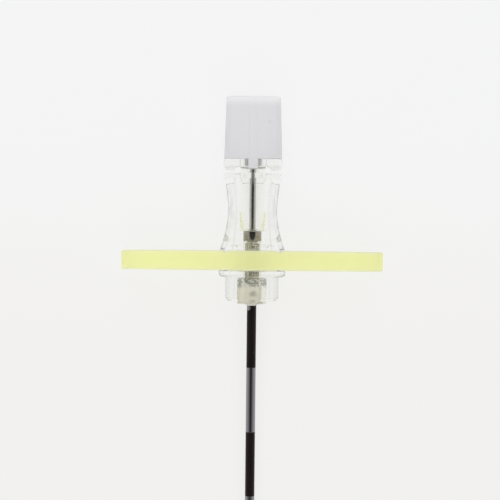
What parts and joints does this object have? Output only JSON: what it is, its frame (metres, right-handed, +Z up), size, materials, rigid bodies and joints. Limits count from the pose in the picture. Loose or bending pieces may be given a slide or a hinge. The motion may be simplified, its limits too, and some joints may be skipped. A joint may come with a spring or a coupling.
{
  "type": "epidural needle",
  "caption": "Winged epidural needle with a clear Luer hub, a detachable flat wing, a banded steel cannula with a curved point and a stylet with a white square cap.",
  "frame": {"origin": "centre of the resting needle's box, on the surface that it lies on", "axes": "+Y along the lying needle, from its point to its cap; +Z up from the surface; X along the wing. The cannula slopes up towards the hub by 3.3 degrees, because it rests on the wing's edge and on its point."},
  "size_m": [0.0398, 0.1118, 0.0112],
  "materials": {
    "cannula_steel": "ground tube with 10 mm bands, alternately blackened and bare",
    "bush_steel": "turned",
    "clear_plastic": "clear, polished mould",
    "adhesive": "cured, with small bubbles",
    "wing_plastic": "translucent yellow-green",
    "stylet_steel": "drawn wire",
    "cap_plastic": "white, satin"
  },
  "bodies": {
    "needle": {"cannula": "cannula_steel", "guide_bush": "bush_steel", "hub": "clear_plastic", "hub_adhesive": "adhesive"},
    "stylet": {"stylet_wire": "stylet_steel", "stylet_cap": "cap_plastic"},
    "wing": {"wing": "wing_plastic"}
  },
  "joints": [
    {"name": "stylet_slide", "type": "slide", "parent": "needle", "child": "stylet", "axis": [0, 0.9983, 0.0581], "range_m": [0, 0.105]},
    {"name": "wing_slide", "type": "slide", "parent": "needle", "child": "wing", "axis": [0, -0.0581, 0.9983], "range_m": [0, 0.012]}
  ]
}
